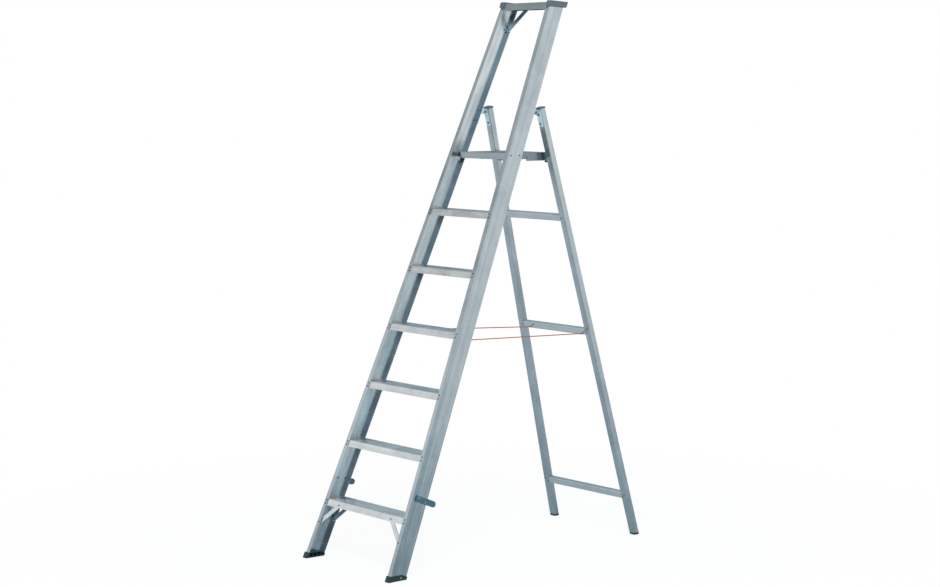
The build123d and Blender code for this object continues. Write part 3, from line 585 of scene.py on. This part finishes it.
def tube_mesh(name, points, radius, closed=False):
    """A tube round a line of points, mapped by turns round it and diameters along it."""
    count = len(points)
    ways = [(points[(i + 1) % count] - points[i - 1]).normalized() for i in range(count)]
    if not closed:
        ways[0] = (points[1] - points[0]).normalized()
        ways[-1] = (points[-1] - points[-2]).normalized()
    side = ways[0].orthogonal().normalized()
    corners, lengths = [], [0.0]
    for i, (point, way) in enumerate(zip(points, ways)):
        if i:
            side = ways[i - 1].rotation_difference(way) @ side
            lengths.append(lengths[-1] + (point - points[i - 1]).length)
        other = way.cross(side)
        for k in range(TUBE_SIDES):
            angle = 2 * pi * k / TUBE_SIDES
            corners.append(point + (side * cos(angle) + other * sin(angle)) * radius)
    faces, maps = [], []
    for i in range(count if closed else count - 1):
        after = (i + 1) % count
        ring, next_ring = i * TUBE_SIDES, after * TUBE_SIDES
        here = lengths[i] / (2 * radius)
        there = (lengths[i] + (points[after] - points[i]).length) / (2 * radius)
        for k in range(TUBE_SIDES):
            j = (k + 1) % TUBE_SIDES
            low, high = k / TUBE_SIDES, (k + 1) / TUBE_SIDES
            faces.append((ring + j, next_ring + j, next_ring + k, ring + k))
            maps.append(((high, here), (high, there), (low, there), (low, here)))
    if not closed:
        first_ring = range(TUBE_SIDES)
        last_ring = range((count - 1) * TUBE_SIDES, count * TUBE_SIDES)
        faces += [list(reversed(first_ring)), list(last_ring)]
        maps += [[(0.0, 0.0)] * TUBE_SIDES] * 2
    mesh = bpy.data.meshes.new(name)
    mesh.from_pydata(corners, [], faces)
    layer = mesh.uv_layers.new(name="round_and_along")
    for face, spots in zip(mesh.polygons, maps):
        face.use_smooth = True
        for loop, spot in zip(face.loop_indices, spots):
            layer.data[loop].uv = spot
    mesh.materials.append(cord_braid)
    piece = bpy.data.objects.new(name, mesh)
    bpy.context.collection.objects.link(piece)
    return piece


def make_knot(name, middle, way, body):
    """A stopper knot, drawn tight round the cord."""
    side = way.orthogonal().normalized()
    other = way.cross(side)
    loop = []
    for step in range(KNOT_POINTS):
        angle = 2 * pi * step / KNOT_POINTS
        wind, crossing = KNOT_WINDS * angle, KNOT_CROSSINGS * angle
        out = KNOT_RING + KNOT_SWELL * cos(crossing)
        aside = (side * cos(wind) + other * sin(wind)) * out
        loop.append(middle + aside + way * KNOT_SWELL * sin(crossing))
    line = nurbs_line(f"{name} line", loop, KNOT_STEPS, closed=True)
    knot = tube_mesh(name, take_points(line), KNOT_YARN, closed=True)
    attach(knot, body)
    return knot


def make_cord(side):
    """A cord from its knot in the stile, tight to the crossbar, through it and knotted behind."""
    hole, bend, end = Vector(CORD_HOLE[side]), Vector(CORD_BEND[side]), Vector(CORD_END[side])
    way = (bend - hole).normalized()
    start = hole - way * CORD_KNOT_BACK
    line = nurbs_line(f"cord line {side}", [start, bend - way * CORD_STRAIGHT, bend, end], CORD_STEPS)
    points = take_points(line)
    cord = tube_mesh(f"safety_cord_{side}", points, CORD_DIAMETER / 2)
    knots = [
        make_knot(f"knot_in_stile_{side}", start, way, "front_frame"),
        make_knot(f"knot_behind_bar_{side}", end, (end - bend).normalized(), "rear_frame"),
    ]
    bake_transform(cord)
    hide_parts(f"cord_{side}")


for side in SIDES:
    make_cord(side)


# Studio: camera, floor and light


def add_camera():
    """The photograph's camera, level from side to side."""
    data = bpy.data.cameras.new("photo camera")
    data.lens = CAMERA_LENS
    data.sensor_width = SENSOR_WIDTH
    data.clip_end = CAMERA_REACH
    camera = bpy.data.objects.new("photo camera", data)
    camera.location = CAMERA_PLACE
    camera.rotation_euler = (pi / 2 - CAMERA_DOWN, 0.0, CAMERA_HEADING)
    bpy.context.collection.objects.link(camera)
    bpy.context.scene.camera = camera


def seen_directly(tree, path):
    """Set for what the camera sees, also through something clear."""
    return add_math(tree, "MAXIMUM", path["Is Camera Ray"], path["Is Transmission Ray"])


def floor_paper():
    """Paper that shows white with the ladder's soft shadow, and far off also in the metal."""
    material = bpy.data.materials.new("floor paper")
    material.use_nodes = True
    tree = material.node_tree
    tree.nodes.clear()
    link = tree.links.new
    place = add_node(tree, "ShaderNodeTexCoord").outputs["Object"]
    clear = add_range(tree, add_measure(tree, "DISTANCE", place, FLOOR_MIDDLE), FLOOR_CLEAR, FULL)
    shade = add_node(tree, "ShaderNodeBsdfDiffuse")
    link(add_mix(tree, clear, FLOOR_SHADE, BLACK), shade.inputs["Color"])
    glow = add_node(tree, "ShaderNodeEmission", Color=WHITE)
    link(add_range(tree, clear, FULL, (FLOOR_GLOW, 1.0)), glow.inputs["Strength"])
    seen = add_node(tree, "ShaderNodeAddShader")
    link(shade.outputs[0], seen.inputs[0])
    link(glow.outputs[0], seen.inputs[1])
    paper = add_node(tree, "ShaderNodeBsdfDiffuse", Color=FLOOR_PAPER)
    path = add_node(tree, "ShaderNodeLightPath").outputs
    sweep = add_range(tree, add_measure(tree, "DISTANCE", place, SWEEP_FROM), SWEEP_DISTANCES, SWEEP_SHARES)
    in_metal = add_math(tree, "MULTIPLY", path["Is Glossy Ray"], sweep)
    choose = add_node(tree, "ShaderNodeMixShader")
    link(add_math(tree, "MAXIMUM", seen_directly(tree, path), in_metal), choose.inputs[0])
    link(paper.outputs[0], choose.inputs[1])
    link(seen.outputs[0], choose.inputs[2])
    out = add_node(tree, "ShaderNodeOutputMaterial")
    link(choose.outputs[0], out.inputs["Surface"])
    return material


def add_floor():
    """A pale floor under the ladder."""
    bpy.ops.object.select_all(action="DESELECT")
    bpy.ops.mesh.primitive_plane_add(size=FLOOR_SIZE)
    floor = bpy.context.object
    floor.name = "floor"
    floor.data.materials.append(floor_paper())


def add_band(tree, rise, band, tint):
    """The room's colour from straight down to straight up."""
    room = add_node(tree, "ShaderNodeValToRGB")
    steps = room.color_ramp.elements
    for height, _ in band[1:-1]:
        steps.new(height)
    for step, (_, level) in zip(steps, band):
        step.color = (*(level * part for part in tint), 1.0)
    tree.links.new(rise, room.inputs[0])
    return room.outputs["Color"]


def add_world():
    """White to the camera, and to metal a room with bright sides, a light front ceiling and a dim back."""
    world = bpy.data.worlds.new("studio")
    bpy.context.scene.world = world
    world.use_nodes = True
    tree = world.node_tree
    way = add_node(tree, "ShaderNodeTexCoord").outputs["Generated"]
    rise = add_range(tree, add_part(tree, way, "Z"), (-1.0, 1.0), FULL)
    towards = add_measure(tree, "DOT_PRODUCT", way, FRONT_WAY)
    sides = add_band(tree, rise, SIDE_BAND, SIDE_TINT)
    front = add_band(tree, rise, FRONT_BAND, FRONT_TINT)
    room = add_mix(tree, add_range(tree, towards, FRONT_SPAN, FULL), sides, front)
    room = add_mix(tree, add_range(tree, towards, BACK_SPAN, FULL), BACK_COLOUR, room)
    path = add_node(tree, "ShaderNodeLightPath").outputs
    colour = add_mix(tree, seen_directly(tree, path), room, WHITE)
    tree.links.new(colour, tree.nodes["Background"].inputs["Color"])


def add_key_lamp():
    """A square area lamp that faces the ladder, and that metal doesn't show."""
    data = bpy.data.lights.new("key softbox", "AREA")
    data.shape = "SQUARE"
    data.size = KEY_SIZE
    data.energy = KEY_POWER
    lamp = bpy.data.objects.new("key softbox", data)
    lamp.location = KEY_PLACE
    lamp.rotation_euler = (Vector(KEY_AIM) - Vector(KEY_PLACE)).to_track_quat("-Z", "Y").to_euler()
    lamp.visible_glossy = False
    bpy.context.collection.objects.link(lamp)


add_camera()
add_floor()
add_world()
add_key_lamp()
bpy.context.scene.view_settings.view_transform = "Standard"
